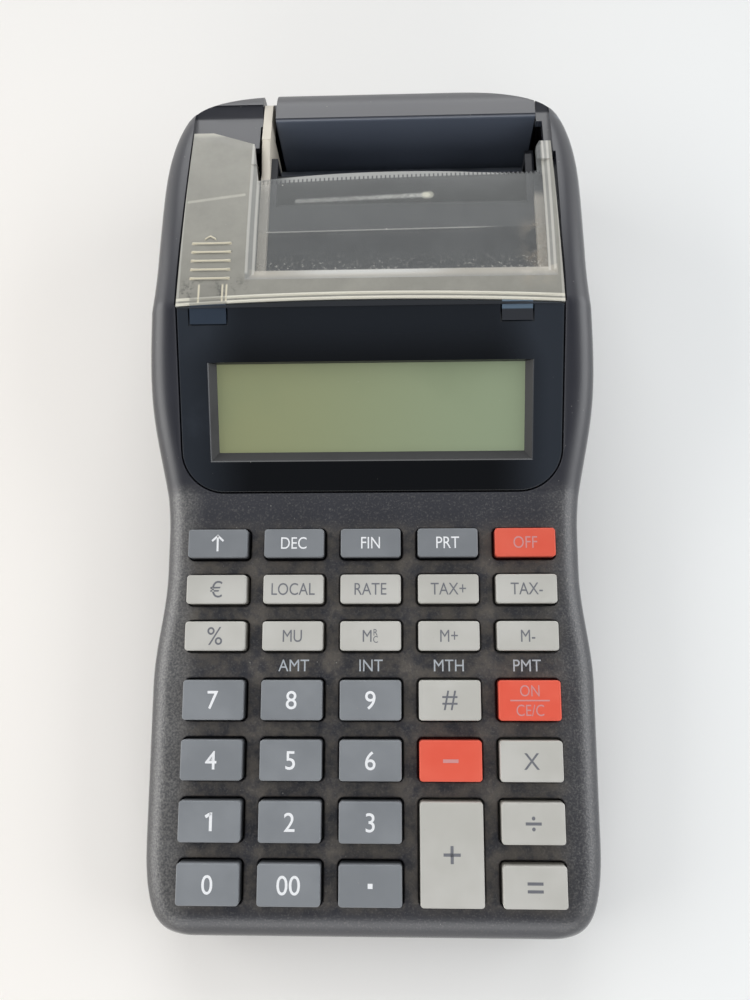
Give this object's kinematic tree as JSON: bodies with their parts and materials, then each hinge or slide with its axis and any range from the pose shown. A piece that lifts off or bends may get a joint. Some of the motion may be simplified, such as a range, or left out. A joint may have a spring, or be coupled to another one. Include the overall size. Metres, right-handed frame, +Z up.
{
  "type": "printing calculator",
  "caption": "Handheld printing calculator with a waisted dark case, sloped LCD fascia, clear printer cover, rear paper flap and travelling keys over a drum printer.",
  "frame": {"origin": "centre of the footprint, on the table under the rubber feet", "axes": "+X to the user's right, +Y from the keyboard to the rear flap, +Z up"},
  "size_m": [0.0988, 0.192, 0.041],
  "materials": {
    "case_plastic": "fine textured, dusty",
    "gloss_black": "polished",
    "clear_cover": "clear, yellowed and dusty",
    "lcd": "polariser film on glass",
    "key_dark": "satin",
    "key_light": "satin",
    "key_red": "satin",
    "board_green": "solder mask",
    "rubber": "matte",
    "cream_plastic": "moulded",
    "guide_black": "satin",
    "steel": "plated",
    "ink_foam": "ink-soaked foam",
    "gear_nylon": "moulded"
  },
  "bodies": {
    "case": {"upper_case": "case_plastic", "lower_case": "case_plastic", "display_fascia": "gloss_black", "lcd_glass": "lcd", "lcd_connector": "rubber", "display_board": "board_green", "circuit_board": "board_green", "key_mat": "rubber", "printer_frame": "cream_plastic", "paper_guide": "guide_black", "hammer_bar": "steel", "drive_motor": "steel", "battery_contacts": "steel", "case_screws": "steel", "rubber_feet": "rubber"},
    "cover": {"printer_cover": "clear_cover"},
    "flap": {"rear_flap": "case_plastic"},
    "door": {"battery_door": "case_plastic"},
    "pinion": {"motor_pinion": "gear_nylon"},
    "idler": {"idler_gear": "gear_nylon"},
    "drum": {"type_drum": "guide_black", "drum_gear": "gear_nylon"},
    "ink": {"ink_roller": "ink_foam"},
    "feed": {"feed_roller": "rubber", "feed_gear": "gear_nylon"},
    "pressure": {"pressure_roller": "rubber"},
    "key_feed": {"key_feed": "key_dark"},
    "key_decimal": {"key_decimal": "key_dark"},
    "key_final": {"key_final": "key_dark"},
    "key_print": {"key_print": "key_dark"},
    "key_7": {"key_7": "key_dark"},
    "key_8": {"key_8": "key_dark"},
    "key_9": {"key_9": "key_dark"},
    "key_4": {"key_4": "key_dark"},
    "key_5": {"key_5": "key_dark"},
    "key_6": {"key_6": "key_dark"},
    "key_1": {"key_1": "key_dark"},
    "key_2": {"key_2": "key_dark"},
    "key_3": {"key_3": "key_dark"},
    "key_0": {"key_0": "key_dark"},
    "key_00": {"key_00": "key_dark"},
    "key_point": {"key_point": "key_dark"},
    "key_euro": {"key_euro": "key_light"},
    "key_local": {"key_local": "key_light"},
    "key_rate": {"key_rate": "key_light"},
    "key_tax_plus": {"key_tax_plus": "key_light"},
    "key_tax_minus": {"key_tax_minus": "key_light"},
    "key_percent": {"key_percent": "key_light"},
    "key_markup": {"key_markup": "key_light"},
    "key_memory_recall": {"key_memory_recall": "key_light"},
    "key_memory_plus": {"key_memory_plus": "key_light"},
    "key_memory_minus": {"key_memory_minus": "key_light"},
    "key_count": {"key_count": "key_light"},
    "key_times": {"key_times": "key_light"},
    "key_plus": {"key_plus": "key_light"},
    "key_divide": {"key_divide": "key_light"},
    "key_equals": {"key_equals": "key_light"},
    "key_off": {"key_off": "key_red"},
    "key_on_clear": {"key_on_clear": "key_red"},
    "key_minus": {"key_minus": "key_red"}
  },
  "joints": [
    {"name": "cover_slide", "type": "slide", "parent": "case", "child": "cover", "axis": [0, 0.9945, 0.1045], "range_m": [0, 0.006]},
    {"name": "flap_hinge", "type": "hinge", "parent": "case", "child": "flap", "pos_m": [0, 0.0941, 0.0126], "axis": [-1, 0, 0], "range_deg": [0, 85]},
    {"name": "battery_door_hinge", "type": "hinge", "parent": "case", "child": "door", "pos_m": [0, 0.04625, 0.0024], "axis": [1, 0, 0], "range_deg": [0, 95]},
    {"name": "drum_spin", "type": "hinge", "parent": "case", "child": "drum", "pos_m": [-0.028, 0.059, 0.0195], "axis": [1, 0, 0], "continuous": true},
    {"name": "motor_spin", "type": "hinge", "parent": "case", "child": "pinion", "pos_m": [-0.028, 0.0782, 0.0159], "axis": [1, 0, 0], "continuous": true},
    {"name": "idler_spin", "type": "hinge", "parent": "case", "child": "idler", "pos_m": [-0.028, 0.071, 0.0105], "axis": [1, 0, 0], "continuous": true},
    {"name": "ink_spin", "type": "hinge", "parent": "case", "child": "ink", "pos_m": [-0.028, 0.05145, 0.0285], "axis": [1, 0, 0], "continuous": true},
    {"name": "feed_spin", "type": "hinge", "parent": "case", "child": "feed", "pos_m": [-0.028, 0.071, 0.0285], "axis": [1, 0, 0], "continuous": true},
    {"name": "pressure_spin", "type": "hinge", "parent": "case", "child": "pressure", "pos_m": [-0.028, 0.0643, 0.0285], "axis": [1, 0, 0], "continuous": true},
    {"name": "key_feed_press", "type": "slide", "parent": "case", "child": "key_feed", "axis": [0, 0.0785, -0.9969], "range_m": [0, 0.0015], "stiffness_N_per_m": 250},
    {"name": "key_decimal_press", "type": "slide", "parent": "case", "child": "key_decimal", "axis": [0, 0.0785, -0.9969], "range_m": [0, 0.0015], "stiffness_N_per_m": 250},
    {"name": "key_final_press", "type": "slide", "parent": "case", "child": "key_final", "axis": [0, 0.0785, -0.9969], "range_m": [0, 0.0015], "stiffness_N_per_m": 250},
    {"name": "key_print_press", "type": "slide", "parent": "case", "child": "key_print", "axis": [0, 0.0785, -0.9969], "range_m": [0, 0.0015], "stiffness_N_per_m": 250},
    {"name": "key_7_press", "type": "slide", "parent": "case", "child": "key_7", "axis": [0, 0.0785, -0.9969], "range_m": [0, 0.0015], "stiffness_N_per_m": 250},
    {"name": "key_8_press", "type": "slide", "parent": "case", "child": "key_8", "axis": [0, 0.0785, -0.9969], "range_m": [0, 0.0015], "stiffness_N_per_m": 250},
    {"name": "key_9_press", "type": "slide", "parent": "case", "child": "key_9", "axis": [0, 0.0785, -0.9969], "range_m": [0, 0.0015], "stiffness_N_per_m": 250},
    {"name": "key_4_press", "type": "slide", "parent": "case", "child": "key_4", "axis": [0, 0.0785, -0.9969], "range_m": [0, 0.0015], "stiffness_N_per_m": 250},
    {"name": "key_5_press", "type": "slide", "parent": "case", "child": "key_5", "axis": [0, 0.0785, -0.9969], "range_m": [0, 0.0015], "stiffness_N_per_m": 250},
    {"name": "key_6_press", "type": "slide", "parent": "case", "child": "key_6", "axis": [0, 0.0785, -0.9969], "range_m": [0, 0.0015], "stiffness_N_per_m": 250},
    {"name": "key_1_press", "type": "slide", "parent": "case", "child": "key_1", "axis": [0, 0.0785, -0.9969], "range_m": [0, 0.0015], "stiffness_N_per_m": 250},
    {"name": "key_2_press", "type": "slide", "parent": "case", "child": "key_2", "axis": [0, 0.0785, -0.9969], "range_m": [0, 0.0015], "stiffness_N_per_m": 250},
    {"name": "key_3_press", "type": "slide", "parent": "case", "child": "key_3", "axis": [0, 0.0785, -0.9969], "range_m": [0, 0.0015], "stiffness_N_per_m": 250},
    {"name": "key_0_press", "type": "slide", "parent": "case", "child": "key_0", "axis": [0, 0.0785, -0.9969], "range_m": [0, 0.0015], "stiffness_N_per_m": 250},
    {"name": "key_00_press", "type": "slide", "parent": "case", "child": "key_00", "axis": [0, 0.0785, -0.9969], "range_m": [0, 0.0015], "stiffness_N_per_m": 250},
    {"name": "key_point_press", "type": "slide", "parent": "case", "child": "key_point", "axis": [0, 0.0785, -0.9969], "range_m": [0, 0.0015], "stiffness_N_per_m": 250},
    {"name": "key_euro_press", "type": "slide", "parent": "case", "child": "key_euro", "axis": [0, 0.0785, -0.9969], "range_m": [0, 0.0015], "stiffness_N_per_m": 250},
    {"name": "key_local_press", "type": "slide", "parent": "case", "child": "key_local", "axis": [0, 0.0785, -0.9969], "range_m": [0, 0.0015], "stiffness_N_per_m": 250},
    {"name": "key_rate_press", "type": "slide", "parent": "case", "child": "key_rate", "axis": [0, 0.0785, -0.9969], "range_m": [0, 0.0015], "stiffness_N_per_m": 250},
    {"name": "key_tax_plus_press", "type": "slide", "parent": "case", "child": "key_tax_plus", "axis": [0, 0.0785, -0.9969], "range_m": [0, 0.0015], "stiffness_N_per_m": 250},
    {"name": "key_tax_minus_press", "type": "slide", "parent": "case", "child": "key_tax_minus", "axis": [0, 0.0785, -0.9969], "range_m": [0, 0.0015], "stiffness_N_per_m": 250},
    {"name": "key_percent_press", "type": "slide", "parent": "case", "child": "key_percent", "axis": [0, 0.0785, -0.9969], "range_m": [0, 0.0015], "stiffness_N_per_m": 250},
    {"name": "key_markup_press", "type": "slide", "parent": "case", "child": "key_markup", "axis": [0, 0.0785, -0.9969], "range_m": [0, 0.0015], "stiffness_N_per_m": 250},
    {"name": "key_memory_recall_press", "type": "slide", "parent": "case", "child": "key_memory_recall", "axis": [0, 0.0785, -0.9969], "range_m": [0, 0.0015], "stiffness_N_per_m": 250},
    {"name": "key_memory_plus_press", "type": "slide", "parent": "case", "child": "key_memory_plus", "axis": [0, 0.0785, -0.9969], "range_m": [0, 0.0015], "stiffness_N_per_m": 250},
    {"name": "key_memory_minus_press", "type": "slide", "parent": "case", "child": "key_memory_minus", "axis": [0, 0.0785, -0.9969], "range_m": [0, 0.0015], "stiffness_N_per_m": 250},
    {"name": "key_count_press", "type": "slide", "parent": "case", "child": "key_count", "axis": [0, 0.0785, -0.9969], "range_m": [0, 0.0015], "stiffness_N_per_m": 250},
    {"name": "key_times_press", "type": "slide", "parent": "case", "child": "key_times", "axis": [0, 0.0785, -0.9969], "range_m": [0, 0.0015], "stiffness_N_per_m": 250},
    {"name": "key_plus_press", "type": "slide", "parent": "case", "child": "key_plus", "axis": [0, 0.0785, -0.9969], "range_m": [0, 0.0015], "stiffness_N_per_m": 250},
    {"name": "key_divide_press", "type": "slide", "parent": "case", "child": "key_divide", "axis": [0, 0.0785, -0.9969], "range_m": [0, 0.0015], "stiffness_N_per_m": 250},
    {"name": "key_equals_press", "type": "slide", "parent": "case", "child": "key_equals", "axis": [0, 0.0785, -0.9969], "range_m": [0, 0.0015], "stiffness_N_per_m": 250},
    {"name": "key_off_press", "type": "slide", "parent": "case", "child": "key_off", "axis": [0, 0.0785, -0.9969], "range_m": [0, 0.0015], "stiffness_N_per_m": 250},
    {"name": "key_on_clear_press", "type": "slide", "parent": "case", "child": "key_on_clear", "axis": [0, 0.0785, -0.9969], "range_m": [0, 0.0015], "stiffness_N_per_m": 250},
    {"name": "key_minus_press", "type": "slide", "parent": "case", "child": "key_minus", "axis": [0, 0.0785, -0.9969], "range_m": [0, 0.0015], "stiffness_N_per_m": 250}
  ],
  "couplings": [
    {"joint": "motor_spin", "follows": "drum_spin", "ratio": 3},
    {"joint": "idler_spin", "follows": "drum_spin", "ratio": -1.5},
    {"joint": "ink_spin", "follows": "drum_spin", "ratio": -1.5217},
    {"joint": "feed_spin", "follows": "drum_spin", "ratio": -1.5},
    {"joint": "pressure_spin", "follows": "drum_spin", "ratio": 1.9286}
  ]
}
